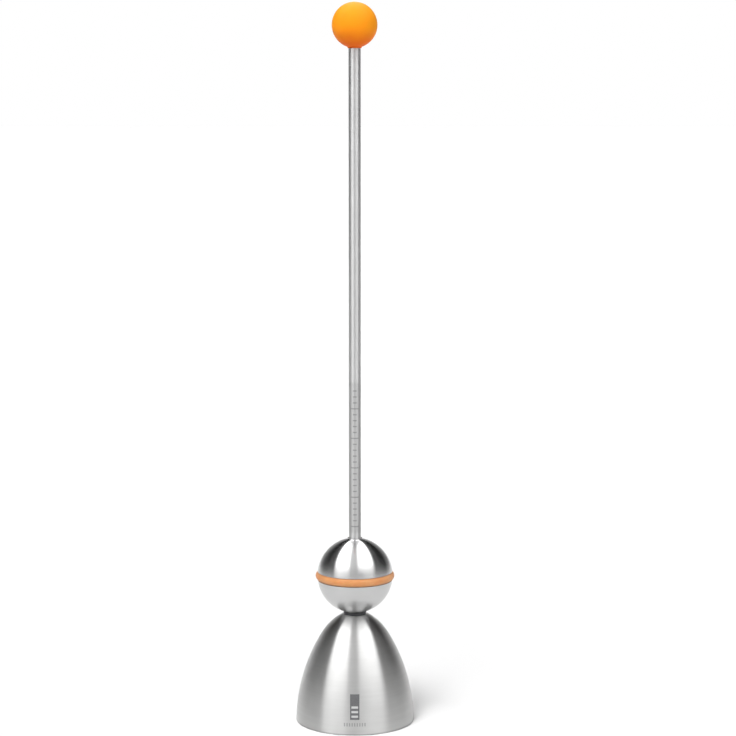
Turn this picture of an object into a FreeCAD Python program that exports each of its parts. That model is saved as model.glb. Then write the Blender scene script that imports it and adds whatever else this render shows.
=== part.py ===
import FreeCAD, Part
import math
import os

# A drop-weight egg topper, in millimetres, with +Z up.
# The bell stands on the tip of an egg. The ball slides on the rod, is lifted to the knob
# and dropped, and its blow on the collar cracks the shell round the bell's rim.
# The origin is the centre of the bell's mouth, on the plane that the rim stands on.

# Bell
MOUTH_DIAMETER = 40.0
MOUTH_LEAN_DEG = 0.8          # how far the wall leans inwards where it leaves the rim
SHOULDER_DIAMETER = 22.6      # where the long side curve meets the short crown curve
SHOULDER_HEIGHT = 30.0
CROWN_HEIGHT = 36.7           # top face, which the collar stands on
CROWN_THICKNESS = 2.5         # between the top face and the washer's seat inside
BELL_WALL = 1.5
RIM_LAND = 0.8                # width of the flat that meets the egg
RIM_BEVEL_HEIGHT = 0.7        # inner bevel behind the land
RIM_EDGE_BREAK = 0.15         # outer edge of the land
COLLAR_SEAT_MARGIN = 0.35     # flat left showing round the collar

# Rod and its fits
ROD_DIAMETER = 4.0
ROD_END_CHAMFER = 0.4
THREAD_CLEARANCE = 0.05       # radial, where the rod is screwed into another piece
CROWN_HOLE_CLEARANCE = 0.1    # radial, where the rod passes the bell
SLIDE_CLEARANCE = 0.1         # radial, where the ball runs on the rod

# Collar that the ball strikes
COLLAR_DIAMETER = 7.7
COLLAR_THICKNESS = 1.0
COLLAR_EDGE_CHAMFER = 0.15

# Sliding ball
BALL_DIAMETER = 25.4
STRIKE_FACE_DIAMETER = 7.0    # flat on the ball's underside
BALL_NECK_DIAMETER = 5.0
BALL_NECK_HEIGHT = 0.2        # how far the neck stands above the ball's own radius
NECK_STRAIGHT = 0.1           # plain length of a neck between its flare and its end
BORE_CHAMFER = 0.2
BALL_TRAVEL = 163.35          # lift from the collar to the knob

# Grip ring round the ball
RING_OUTER_DIAMETER = 26.6
RING_SECTION_DIAMETER = 2.8
RING_GROOVE_CLEARANCE = 0.03

# Knob and the insert moulded into it
KNOB_DIAMETER = 15.0
KNOB_NECK_DIAMETER = 4.6
KNOB_NECK_HEIGHT = 0.05
INSERT_DIAMETER = 6.0
INSERT_LENGTH = 8.0
INSERT_WAIST_DIAMETER = 5.2
INSERT_WAIST_LENGTH = 2.0
INSERT_BORE_DEPTH = 6.5
INSERT_ROD_DEPTH = 6.0        # how far the rod is screwed in
KNURL_COUNT = 12
KNURL_DIAMETER = 0.6          # round flutes along the insert's outside

# Fasteners inside the bell
WASHER_DIAMETER = 7.6
WASHER_THICKNESS = 0.9
WASHER_CLEARANCE = 0.15       # radial, round the rod
WASHER_EDGE_CHAMFER = 0.1
WASHER_SPLIT = 0.8
WASHER_SPLIT_SLOPE_DEG = 20.0
NUT_ACROSS_FLATS = 7.0
NUT_HEX_HEIGHT = 3.2
NUT_HEIGHT = 8.0              # hexagon and dome together
NUT_DOME_DIAMETER = 6.5
NUT_BORE_DEPTH = 5.5
NUT_ROD_DEPTH = 5.0           # how far the rod is screwed in
NUT_CORNER_CHAMFER_DEG = 30.0
DRILL_POINT_DEG = 118.0

# Places worked out from the sizes above
AXIS = FreeCAD.Vector(0, 0, 1)
ORIGIN = FreeCAD.Vector(0, 0, 0)
MARGIN = 1.0                  # extra length of a cutting tool past the face that it opens

ROD_RADIUS = ROD_DIAMETER / 2
THREAD_RADIUS = ROD_RADIUS + THREAD_CLEARANCE
BALL_RADIUS = BALL_DIAMETER / 2
KNOB_RADIUS = KNOB_DIAMETER / 2

WASHER_TOP = CROWN_HEIGHT - CROWN_THICKNESS
NUT_TOP = WASHER_TOP - WASHER_THICKNESS
COLLAR_TOP = CROWN_HEIGHT + COLLAR_THICKNESS
STRIKE_FACE_DROP = math.sqrt(BALL_RADIUS**2 - (STRIKE_FACE_DIAMETER / 2) ** 2)
BALL_CENTRE = COLLAR_TOP + STRIKE_FACE_DROP
BALL_TOP = BALL_CENTRE + BALL_RADIUS + BALL_NECK_HEIGHT
KNOB_FOOT = BALL_TOP + BALL_TRAVEL
KNOB_CENTRE = KNOB_FOOT + KNOB_NECK_HEIGHT + KNOB_RADIUS
INSERT_FOOT = KNOB_CENTRE - INSERT_LENGTH / 2
ROD_FOOT = NUT_TOP - NUT_ROD_DEPTH
ROD_TOP = INSERT_FOOT + INSERT_ROD_DEPTH


def at(radius, height):
    """A point of the half-plane that every turned profile is drawn in."""
    return FreeCAD.Vector(radius, 0, height)


def lines(*points):
    """Straight edges from each point to the next."""
    return [Part.LineSegment(a, b).toShape() for a, b in zip(points, points[1:])]


def arc(start, middle, end):
    """The round edge through three points."""
    return Part.Arc(start, middle, end).toShape()


def turned(edges):
    """The solid that a closed profile makes when it is turned about the Z axis."""
    profile = Part.Face(Part.Wire(Part.sortEdges(edges)[0]))
    return profile.revolve(ORIGIN, AXIS, 360)


def turned_ring(inner_radius, outer_radius, foot, top, chamfer):
    """A flat ring about the Z axis with both its outer edges chamfered."""
    corner = outer_radius - chamfer
    return turned(lines(
        at(inner_radius, foot), at(corner, foot), at(outer_radius, foot + chamfer),
        at(outer_radius, top - chamfer), at(corner, top), at(inner_radius, top),
        at(inner_radius, foot),
    ))


def blind_hole(radius, mouth, depth, direction):
    """The cutter for a drilled hole from a mouth height, up (1) or down (-1), with its point."""
    point_length = radius / math.tan(math.radians(DRILL_POINT_DEG / 2))
    floor = mouth + direction * depth
    outside = mouth - direction * MARGIN
    return turned(lines(
        at(0, outside), at(radius, outside), at(radius, floor),
        at(0, floor + direction * point_length), at(0, outside),
    ))


class WallCurve:
    """A round stretch of the bell's wall, which can be drawn at any depth inside the wall.

    The curve leaves its start at a lean, in radians from upright towards the axis,
    and its lean grows steadily up to its end.
    """

    def __init__(self, start, start_lean, end):
        towards_centre = at(-math.cos(start_lean), -math.sin(start_lean))
        chord = end - start
        self.radius = chord.dot(chord) / (2 * chord.dot(towards_centre))
        self.centre = start + towards_centre * self.radius
        self.start_lean = start_lean
        self.end_lean = math.atan2(end.z - self.centre.z, end.x - self.centre.x)

    def point(self, lean, depth=0.0):
        """The point with a given lean, at a depth inside the outer surface."""
        return self.centre + at(math.cos(lean), math.sin(lean)) * (self.radius - depth)

    def lean_at(self, height, depth=0.0):
        """The lean of the curve at a height, at a depth inside the outer surface."""
        return math.asin((height - self.centre.z) / (self.radius - depth))

    def edge(self, lean_a, lean_b, depth=0.0):
        """The stretch of the curve between two leans."""
        middle = self.point((lean_a + lean_b) / 2, depth)
        return arc(self.point(lean_a, depth), middle, self.point(lean_b, depth))


def make_bell():
    """Cup with one wall thickness, a thick crown with the rod's hole, and a bevelled rim."""
    rim_radius = MOUTH_DIAMETER / 2
    hole_radius = ROD_RADIUS + CROWN_HOLE_CLEARANCE
    seat_radius = COLLAR_DIAMETER / 2 + COLLAR_SEAT_MARGIN
    shoulder = at(SHOULDER_DIAMETER / 2, SHOULDER_HEIGHT)
    side = WallCurve(at(rim_radius, 0), math.radians(MOUTH_LEAN_DEG), shoulder)
    crown = WallCurve(shoulder, side.end_lean, at(seat_radius, CROWN_HEIGHT))

    outer_foot = side.lean_at(RIM_EDGE_BREAK)
    inner_foot = side.lean_at(RIM_BEVEL_HEIGHT, BELL_WALL)
    inner_top = crown.lean_at(WASHER_TOP, BELL_WALL)
    land_outer = at(rim_radius - RIM_EDGE_BREAK, 0)
    land_inner = land_outer - at(RIM_LAND, 0)

    outside = [
        *lines(land_outer, side.point(outer_foot)),
        side.edge(outer_foot, side.end_lean),
        crown.edge(crown.start_lean, crown.end_lean),
    ]
    inside = [
        *lines(land_inner, side.point(inner_foot, BELL_WALL)),
        side.edge(inner_foot, side.end_lean, BELL_WALL),
        crown.edge(crown.start_lean, inner_top, BELL_WALL),
    ]
    crown_and_hole = lines(
        at(seat_radius, CROWN_HEIGHT), at(hole_radius, CROWN_HEIGHT),
        at(hole_radius, WASHER_TOP), crown.point(inner_top, BELL_WALL),
    )
    return turned([*outside, *inside, *crown_and_hole, *lines(land_inner, land_outer)])


def make_rod():
    """Plain rod, chamfered at both ends."""
    chamfer = ROD_RADIUS - ROD_END_CHAMFER
    return turned(lines(
        at(0, ROD_FOOT), at(chamfer, ROD_FOOT), at(ROD_RADIUS, ROD_FOOT + ROD_END_CHAMFER),
        at(ROD_RADIUS, ROD_TOP - ROD_END_CHAMFER), at(chamfer, ROD_TOP), at(0, ROD_TOP),
        at(0, ROD_FOOT),
    ))


def make_strike_collar():
    """Round collar screwed down on the rod, between the ball and the bell's crown."""
    return turned_ring(
        THREAD_RADIUS, COLLAR_DIAMETER / 2, CROWN_HEIGHT, COLLAR_TOP, COLLAR_EDGE_CHAMFER
    )


def necked_ball_outline(centre, direction, radius, far_end, neck_radius, neck_reach):
    """Edges round a ball from its far end, then up its flared neck to the neck's end.

    direction is 1 for a neck on top and -1 for one below, far_end is the radius and the
    distance from the centre where the outline starts, and neck_reach is how far from the
    centre the neck ends.
    """

    def place(r, distance):
        return at(r, centre + direction * distance)

    flare_end = neck_reach - NECK_STRAIGHT
    flare = (neck_radius**2 + flare_end**2 - radius**2) / (2 * (radius - neck_radius))
    flare_centre = (neck_radius + flare, flare_end)
    share = radius / (radius + flare)
    tangent = (flare_centre[0] * share, flare_centre[1] * share)
    lean = math.atan2(flare_centre[1], flare_centre[0])
    flare_middle = (
        flare_centre[0] - flare * math.cos(lean / 2),
        flare_centre[1] - flare * math.sin(lean / 2),
    )
    return [
        arc(place(far_end[0], -far_end[1]), place(radius, 0), place(*tangent)),
        arc(place(*tangent), place(*flare_middle), place(neck_radius, flare_end)),
        *lines(place(neck_radius, flare_end), place(neck_radius, neck_reach)),
    ]


def make_ring_groove():
    """The cutter for the ball's groove: a round floor with straight sides out of the ball."""
    half_width = RING_SECTION_DIAMETER / 2 + RING_GROOVE_CLEARANCE
    floor_centre = (RING_OUTER_DIAMETER - RING_SECTION_DIAMETER) / 2
    outside = BALL_RADIUS + MARGIN
    below = at(floor_centre, BALL_CENTRE - half_width)
    above = at(floor_centre, BALL_CENTRE + half_width)
    sides = lines(
        above, at(outside, above.z), at(outside, below.z), below,
    )
    return turned([arc(below, at(floor_centre - half_width, BALL_CENTRE), above), *sides])


def make_weight_ball():
    """Bored ball with a flat strike face, a short neck round its upper mouth and a groove."""
    bore_radius = ROD_RADIUS + SLIDE_CLEARANCE
    foot = BALL_CENTRE - STRIKE_FACE_DROP
    outline = necked_ball_outline(
        BALL_CENTRE, 1, BALL_RADIUS, (STRIKE_FACE_DIAMETER / 2, STRIKE_FACE_DROP),
        BALL_NECK_DIAMETER / 2, BALL_TOP - BALL_CENTRE,
    )
    bore = lines(
        at(BALL_NECK_DIAMETER / 2, BALL_TOP), at(bore_radius + BORE_CHAMFER, BALL_TOP),
        at(bore_radius, BALL_TOP - BORE_CHAMFER), at(bore_radius, foot + BORE_CHAMFER),
        at(bore_radius + BORE_CHAMFER, foot), at(STRIKE_FACE_DIAMETER / 2, foot),
    )
    return turned([*outline, *bore]).cut(make_ring_groove())


def make_grip_ring():
    """Round-section ring held in the ball's groove."""
    section = RING_SECTION_DIAMETER / 2
    centre = at(0, BALL_CENTRE)
    return Part.makeTorus(RING_OUTER_DIAMETER / 2 - section, section, centre, AXIS)


def make_insert_body():
    """The insert's outer form: a fluted barrel with a waist that holds it in the knob."""
    radius = INSERT_DIAMETER / 2
    waist = INSERT_WAIST_DIAMETER / 2
    top = INSERT_FOOT + INSERT_LENGTH
    waist_foot = KNOB_CENTRE - INSERT_WAIST_LENGTH / 2
    waist_top = KNOB_CENTRE + INSERT_WAIST_LENGTH / 2
    barrel = turned(lines(
        at(0, INSERT_FOOT), at(radius, INSERT_FOOT), at(radius, waist_foot),
        at(waist, waist_foot), at(waist, waist_top), at(radius, waist_top),
        at(radius, top), at(0, top), at(0, INSERT_FOOT),
    ))
    flute = Part.makeCylinder(KNURL_DIAMETER / 2, INSERT_LENGTH, at(radius, INSERT_FOOT), AXIS)
    flutes = []
    for index in range(KNURL_COUNT):
        copy = flute.copy()
        copy.rotate(ORIGIN, AXIS, 360 * index / KNURL_COUNT)
        flutes.append(copy)
    return barrel.cut(flutes)


def make_knob():
    """Ball knob moulded round its insert, with a short neck where the rod goes in."""
    neck_radius = KNOB_NECK_DIAMETER / 2
    outline = necked_ball_outline(
        KNOB_CENTRE, -1, KNOB_RADIUS, (0, KNOB_RADIUS), neck_radius, KNOB_CENTRE - KNOB_FOOT
    )
    closing = lines(
        at(neck_radius, KNOB_FOOT), at(0, KNOB_FOOT), at(0, KNOB_CENTRE + KNOB_RADIUS)
    )
    rod_hole = Part.makeCylinder(
        THREAD_RADIUS, INSERT_FOOT - KNOB_FOOT + MARGIN, at(0, KNOB_FOOT - MARGIN), AXIS
    )
    return turned([*outline, *closing]).cut([rod_hole, make_insert_body()])


def make_knob_insert():
    """Threaded insert with a blind hole for the rod."""
    return make_insert_body().cut(blind_hole(THREAD_RADIUS, INSERT_FOOT, INSERT_BORE_DEPTH, 1))


def make_lock_washer():
    """Split spring washer under the bell's crown."""
    ring = turned_ring(
        ROD_RADIUS + WASHER_CLEARANCE, WASHER_DIAMETER / 2, NUT_TOP, WASHER_TOP,
        WASHER_EDGE_CHAMFER,
    )
    split = Part.makeBox(
        WASHER_DIAMETER, WASHER_SPLIT, WASHER_DIAMETER,
        FreeCAD.Vector(0, -WASHER_SPLIT / 2, -WASHER_DIAMETER / 2),
    )
    split.rotate(ORIGIN, FreeCAD.Vector(1, 0, 0), WASHER_SPLIT_SLOPE_DEG)
    split.translate(at(0, (NUT_TOP + WASHER_TOP) / 2))
    return ring.cut(split)


def make_cap_nut():
    """Domed nut, open end up, with its hexagon's corners chamfered on the washer's side."""
    corner_radius = NUT_ACROSS_FLATS / 2 / math.cos(math.pi / 6)
    hex_foot = NUT_TOP - NUT_HEX_HEIGHT
    corners = [
        FreeCAD.Vector(
            corner_radius * math.cos(index * math.pi / 3),
            corner_radius * math.sin(index * math.pi / 3),
            hex_foot,
        )
        for index in range(7)
    ]
    hexagon = Part.Face(Part.makePolygon(corners)).extrude(AXIS * NUT_HEX_HEIGHT)

    flat_radius = NUT_ACROSS_FLATS / 2
    drop = (corner_radius - flat_radius) * math.tan(math.radians(NUT_CORNER_CHAMFER_DEG))
    chamfered = turned(lines(
        at(0, hex_foot), at(flat_radius, hex_foot), at(corner_radius, hex_foot + drop),
        at(corner_radius, NUT_TOP - drop), at(flat_radius, NUT_TOP), at(0, NUT_TOP),
        at(0, hex_foot),
    ))

    dome_radius = NUT_DOME_DIAMETER / 2
    nut_foot = NUT_TOP - NUT_HEIGHT
    dome_centre = nut_foot + dome_radius
    round_part = [
        arc(
            at(0, nut_foot),
            at(dome_radius * math.sin(math.pi / 4), dome_centre - dome_radius * math.cos(math.pi / 4)),
            at(dome_radius, dome_centre),
        ),
        *lines(
            at(dome_radius, dome_centre), at(dome_radius, hex_foot + MARGIN),
            at(0, hex_foot + MARGIN), at(0, nut_foot),
        ),
    ]
    body = hexagon.common(chamfered).fuse(turned(round_part)).removeSplitter()
    return body.cut(blind_hole(THREAD_RADIUS, NUT_TOP, NUT_BORE_DEPTH, -1))


def main():
    pieces = {
        "bell": make_bell(),
        "strike_collar": make_strike_collar(),
        "lock_washer": make_lock_washer(),
        "cap_nut": make_cap_nut(),
        "rod": make_rod(),
        "weight_ball": make_weight_ball(),
        "grip_ring": make_grip_ring(),
        "knob_insert": make_knob_insert(),
        "knob": make_knob(),
    }
    os.makedirs("parts", exist_ok=True)
    for name, shape in pieces.items():
        shape.exportStep("parts/" + name + ".step")


main()
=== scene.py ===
"""The looks of a drop-weight egg topper.

Turned and brushed steel for the bell, the rod and the sliding ball, silicone for the ball's
grip ring and satin plastic for the knob, on a white table under soft studio light.
Sizes are in metres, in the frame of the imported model: +Z up along the rod, and the origin at
the centre of the bell's mouth.
"""

import logging
import math
from collections.abc import Sequence
from dataclasses import dataclass
from enum import Enum

import bpy
from mathutils import Euler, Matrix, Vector


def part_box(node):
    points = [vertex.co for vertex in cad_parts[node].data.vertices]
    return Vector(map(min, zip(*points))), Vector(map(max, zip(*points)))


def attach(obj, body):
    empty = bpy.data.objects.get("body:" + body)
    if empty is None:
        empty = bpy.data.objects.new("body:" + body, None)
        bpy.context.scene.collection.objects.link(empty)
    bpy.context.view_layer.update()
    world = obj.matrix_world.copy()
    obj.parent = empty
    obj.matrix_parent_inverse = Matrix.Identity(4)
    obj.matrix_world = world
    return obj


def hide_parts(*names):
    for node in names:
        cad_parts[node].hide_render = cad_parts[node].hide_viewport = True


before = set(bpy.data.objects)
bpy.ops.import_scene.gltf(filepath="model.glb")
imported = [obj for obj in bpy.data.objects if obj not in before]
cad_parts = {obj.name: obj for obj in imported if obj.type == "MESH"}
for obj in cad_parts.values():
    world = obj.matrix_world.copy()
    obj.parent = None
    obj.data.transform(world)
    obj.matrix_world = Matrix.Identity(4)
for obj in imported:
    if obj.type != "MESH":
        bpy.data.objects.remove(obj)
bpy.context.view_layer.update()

LOG = logging.getLogger("egg_topper")
MM = 0.001

Colour = tuple[float, float, float]
Place = tuple[float, float, float]
Point = tuple[float, float]
Stops = tuple[tuple[float, float], ...]


class Body(Enum):
    """The bodies that pieces ride on."""

    STAND = "stand"
    WEIGHT = "weight"


class Slot(Enum):
    """The record's material slots, one for each kind of made piece."""

    BELL = "bell_steel"
    ROD = "rod_steel"
    BALL = "ball_steel"
    RING = "ring_silicone"
    KNOB = "knob_plastic"


# ---------------------------------------------------------------------------------------
# Node trees
# ---------------------------------------------------------------------------------------


class Term:
    """A number that nodes work out: a socket, with the operators of Python's sums."""

    def __init__(self, sheet: "NodeSheet", socket: bpy.types.NodeSocket) -> None:
        """Wraps an output socket of a sheet."""
        self.sheet = sheet
        self.socket = socket

    def __add__(self, other: "Term | float") -> "Term":
        """The sum of both."""
        return self.sheet.sum("ADD", self, other)

    __radd__ = __add__

    def __sub__(self, other: "Term | float") -> "Term":
        """This less the other."""
        return self.sheet.sum("SUBTRACT", self, other)

    def __rsub__(self, other: float) -> "Term":
        """The other less this."""
        return self.sheet.sum("SUBTRACT", other, self)

    def __mul__(self, other: "Term | float") -> "Term":
        """The product of both."""
        return self.sheet.sum("MULTIPLY", self, other)

    __rmul__ = __mul__

    def __truediv__(self, other: "Term | float") -> "Term":
        """This divided by the other."""
        return self.sheet.sum("DIVIDE", self, other)


Value = Term | float | tuple | str | bool | bpy.types.NodeSocket | bpy.types.ID


class NodeSheet:
    """A node tree while it is being written."""

    def __init__(self, tree: bpy.types.NodeTree) -> None:
        """Starts on the tree to write in."""
        self.tree = tree

    def node(self, kind: str, settings: dict | None = None,
             sockets: dict | None = None) -> bpy.types.Node:
        """Lays one node.

        Args:
            kind: the node's type.
            settings: its properties, which are set first. "stops" fills a colour ramp.
            sockets: what goes into each input, by its name or its place.

        Returns:
            The node.
        """
        made = self.tree.nodes.new(kind)
        for name, value in (settings or {}).items():
            if name == "stops":
                self.fill_ramp(made.color_ramp, value)
            else:
                setattr(made, name, value)
        for key, value in (sockets or {}).items():
            self.plug(self.find(made.inputs, key), value)
        return made

    @staticmethod
    def fill_ramp(ramp: bpy.types.ColorRamp, stops: list[tuple[float, Colour]]) -> None:
        """Sets a ramp's stops.

        Args:
            ramp: the ramp.
            stops: the place and the colour of each stop.
        """
        while len(ramp.elements) < len(stops):
            ramp.elements.new(1.0)
        for element, (place, colour) in zip(ramp.elements, stops):
            element.position = place
            element.color = (*colour, 1.0)

    @staticmethod
    def find(sockets: bpy.types.bpy_prop_collection, key: str | int) -> bpy.types.NodeSocket:
        """Finds a socket that is in use.

        Args:
            sockets: a node's inputs or outputs.
            key: its name, or its place among them.

        Returns:
            The socket.
        """
        if isinstance(key, int):
            return sockets[key]
        return next(socket for socket in sockets if socket.enabled and socket.name == key)

    def plug(self, socket: bpy.types.NodeSocket, value: Value) -> None:
        """Links a socket to another, or sets its value.

        Args:
            socket: the input.
            value: the Term, socket or plain value that goes in.
        """
        if isinstance(value, Term):
            value = value.socket
        if isinstance(value, bpy.types.NodeSocket):
            self.tree.links.new(value, socket)
        elif socket.type == "RGBA":
            socket.default_value = (*value, 1.0)
        else:
            socket.default_value = value

    def out(self, node: bpy.types.Node, key: str | int = 0) -> Term:
        """Gives a node's output, by its name or its place, as a Term."""
        return Term(self, self.find(node.outputs, key))

    def sum(self, operation: str, *values: Value) -> Term:
        """Lays a Math node, with values for its inputs in order, and gives its result."""
        return self.out(self.node("ShaderNodeMath", {"operation": operation},
                                  dict(enumerate(values))))

    def vector_sum(self, operation: str, *values: Value) -> Term:
        """Lays a Vector Math node, with values for its inputs in order."""
        return self.out(self.node("ShaderNodeVectorMath", {"operation": operation},
                                  dict(enumerate(values))))

    def split(self, vector: Value) -> tuple[Term, Term, Term]:
        """Splits a vector into its X, Y and Z."""
        parts = self.node("ShaderNodeSeparateXYZ", sockets={0: vector})
        return self.out(parts, 0), self.out(parts, 1), self.out(parts, 2)

    def join(self, x: Value, y: Value, z: Value) -> Term:
        """Makes a vector of its X, Y and Z."""
        return self.out(self.node("ShaderNodeCombineXYZ", sockets={0: x, 1: y, 2: z}))

    def distance(self, x: Term, y: Term) -> Term:
        """How long a level line is, from its X and its Y."""
        return self.sum("SQRT", x * x + y * y)

    def seen(self) -> Term:
        """Tells what is looked at, also in metal or through glass, from what only gives light.

        Returns:
            1 for what is looked at, and otherwise 0.
        """
        path = self.node("ShaderNodeLightPath")
        mirrored = self.sum("MAXIMUM", self.out(path, "Is Glossy Ray"),
                            self.out(path, "Is Transmission Ray"))
        return self.sum("MAXIMUM", self.out(path, "Is Camera Ray"), mirrored)

    def ease(self, value: Value, low: float, high: float,
             first: float = 0.0, last: float = 1.0) -> Term:
        """Goes smoothly from one number to another while a value passes a stretch.

        Args:
            value: the value.
            low: where the stretch starts.
            high: where it ends.
            first: the result up to the start.
            last: the result from the end on.

        Returns:
            The result.
        """
        sockets = {"Value": value, "From Min": low, "From Max": high,
                   "To Min": first, "To Max": last}
        settings = {"interpolation_type": "SMOOTHSTEP"}
        return self.out(self.node("ShaderNodeMapRange", settings, sockets), "Result")


class Paint(NodeSheet):
    """A material while its nodes are being laid."""

    def __init__(self, name: str) -> None:
        """Starts an empty material.

        Args:
            name: the material's name.
        """
        self.material = bpy.data.materials.new(name)
        self.material.use_nodes = True
        super().__init__(self.material.node_tree)
        self.tree.nodes.clear()
        self.place = self.out(self.node("ShaderNodeTexCoord"), "Object")

    def radius(self) -> Term:
        """The distance from the axis."""
        x, y, _ = self.split(self.place)
        return self.distance(x, y)

    def noise(self, scale: float, detail: float = 2.0) -> Term:
        """Even noise round 0.5, with so many grains to a metre and so many finer layers."""
        sockets = {"Vector": self.place, "Scale": scale, "Detail": detail}
        return self.out(self.node("ShaderNodeTexNoise", sockets=sockets), 0)

    def turned_noise(self, lines: float, drift: float, detail: float = 2.0) -> Term:
        """Noise in lines that run round the axis, on a wall and on a flat alike.

        Args:
            lines: how many lines go into a metre across them.
            drift: how many changes go into a metre along them.
            detail: how many finer layers it has.

        Returns:
            A number round 0.5.
        """
        x, y, z = self.split(self.place)
        across = self.join(self.radius() * lines, z * lines, x * drift)
        sockets = {"Vector": across, "W": y * drift, "Scale": 1.0, "Detail": detail}
        settings = {"noise_dimensions": "4D"}
        return self.out(self.node("ShaderNodeTexNoise", settings, sockets), 0)

    def blend(self, share: Value, first: Value, second: Value) -> Term:
        """Mixes two colours, and shows so large a share of the second."""
        sockets = {"Factor": share, "A": first, "B": second}
        return self.out(self.node("ShaderNodeMix", {"data_type": "RGBA"}, sockets), "Result")

    def bump(self, height: Term, depth: float) -> Term:
        """A normal that follows a relief from 0 to 1, which is so many metres deep."""
        return self.out(self.node("ShaderNodeBump", sockets={"Height": height, "Distance": depth}))

    def coat(self, sockets: dict) -> bpy.types.Material:
        """Ends the material with one Principled shader, which takes these inputs."""
        return self.end(self.node("ShaderNodeBsdfPrincipled", sockets=sockets))

    def end(self, shader: bpy.types.Node) -> bpy.types.Material:
        """Ends the material with a shader, and returns it."""
        self.node("ShaderNodeOutputMaterial", sockets={"Surface": shader.outputs[0]})
        return self.material


class Recipe(NodeSheet):
    """A Geometry Nodes tree with named sizes, which makes one plain mesh."""

    def __init__(self, name: str, inputs: dict[str, str]) -> None:
        """Starts a tree.

        Args:
            name: the tree's name.
            inputs: the socket type of each named size.
        """
        super().__init__(bpy.data.node_groups.new(name, "GeometryNodeTree"))
        sockets = {"Geometry": "Geometry", **inputs, "Material": "Material"}
        self.keys = {
            label: self.tree.interface.new_socket(
                label, in_out="INPUT", socket_type="NodeSocket" + kind).identifier
            for label, kind in sockets.items()
        }
        self.tree.interface.new_socket("Result", in_out="OUTPUT",
                                       socket_type="NodeSocketGeometry")
        self.start = self.node("NodeGroupInput")

    def given(self, name: str) -> Term:
        """One of the tree's own inputs."""
        return self.out(self.start, name)

    def position(self) -> Term:
        """Where each point is."""
        return self.out(self.node("GeometryNodeInputPosition"))

    def end(self, geometry: Value) -> "Recipe":
        """Realises what the tree made, gives it its material and closes the tree.

        Args:
            geometry: what the tree made.

        Returns:
            The recipe.
        """
        real = self.node("GeometryNodeRealizeInstances", sockets={"Geometry": geometry})
        dressed = self.node("GeometryNodeSetMaterial", sockets={
            "Geometry": real.outputs[0], "Material": self.given("Material")})
        self.node("NodeGroupOutput", sockets={"Result": dressed.outputs[0]})
        return self

    def apply(self, piece: bpy.types.Object, values: dict[str, Value]) -> None:
        """Runs the tree on a piece and leaves it a plain mesh.

        Args:
            piece: the piece, whose mesh goes into the tree.
            values: the tree's inputs by name.
        """
        modifier = piece.modifiers.new(self.tree.name, "NODES")
        modifier.node_group = self.tree
        for name, value in values.items():
            modifier[self.keys[name]] = value
        depsgraph = bpy.context.evaluated_depsgraph_get()
        made = bpy.data.meshes.new_from_object(
            piece.evaluated_get(depsgraph), preserve_all_data_layers=True, depsgraph=depsgraph)
        made.name = piece.name
        piece.modifiers.clear()
        piece.data = made


def turning_recipe() -> Recipe:
    """Turns a profile about the Z axis.

    Returns:
        The recipe. Its geometry is the profile, as a line of points with X for the radius.
    """
    recipe = Recipe("turning", {"Segments": "Int", "Corner": "Float", "Weld": "Float"})
    profile = recipe.given("Geometry")
    size = recipe.node("GeometryNodeAttributeDomainSize", sockets={"Geometry": profile})
    last = recipe.out(size, "Point Count") - 1
    tube = recipe.node("GeometryNodeMeshCylinder", {"fill_type": "NONE"}, {
        "Vertices": recipe.given("Segments"), "Side Segments": last, "Radius": 1.0, "Depth": 1.0})
    around_x, around_y, along = recipe.split(recipe.position())
    station = recipe.node("GeometryNodeSampleIndex", {"data_type": "FLOAT_VECTOR"}, {
        "Geometry": profile, "Value": recipe.position(),
        "Index": recipe.sum("ROUND", (along + 0.5) * last)})
    radius, _, height = recipe.split(station.outputs[0])
    turned = recipe.node("GeometryNodeSetPosition", sockets={
        "Geometry": tube.outputs["Mesh"],
        "Position": recipe.join(around_x * radius, around_y * radius, height)})
    closed = recipe.node("GeometryNodeMergeByDistance", sockets={
        "Geometry": turned.outputs[0], "Distance": recipe.given("Weld")})
    return recipe.end(crisp_corners(recipe, closed.outputs[0]))


def crisp_corners(recipe: Recipe, geometry: Value) -> bpy.types.NodeSocket:
    """Shades a mesh smooth, apart from the edges that turn by more than a corner's angle.

    Args:
        recipe: a recipe with the input Corner.
        geometry: the mesh.

    Returns:
        The shaded mesh.
    """
    turn = recipe.node("GeometryNodeInputMeshEdgeAngle").outputs["Unsigned Angle"]
    corner = recipe.sum("GREATER_THAN", turn, recipe.given("Corner"))
    smooth = recipe.node("GeometryNodeSetShadeSmooth", {"domain": "FACE"}, {
        "Geometry": geometry, "Shade Smooth": True})
    crisp = recipe.node("GeometryNodeSetShadeSmooth", {"domain": "EDGE"}, {
        "Geometry": smooth.outputs[0], "Selection": corner, "Shade Smooth": False})
    return crisp.outputs[0]


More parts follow.
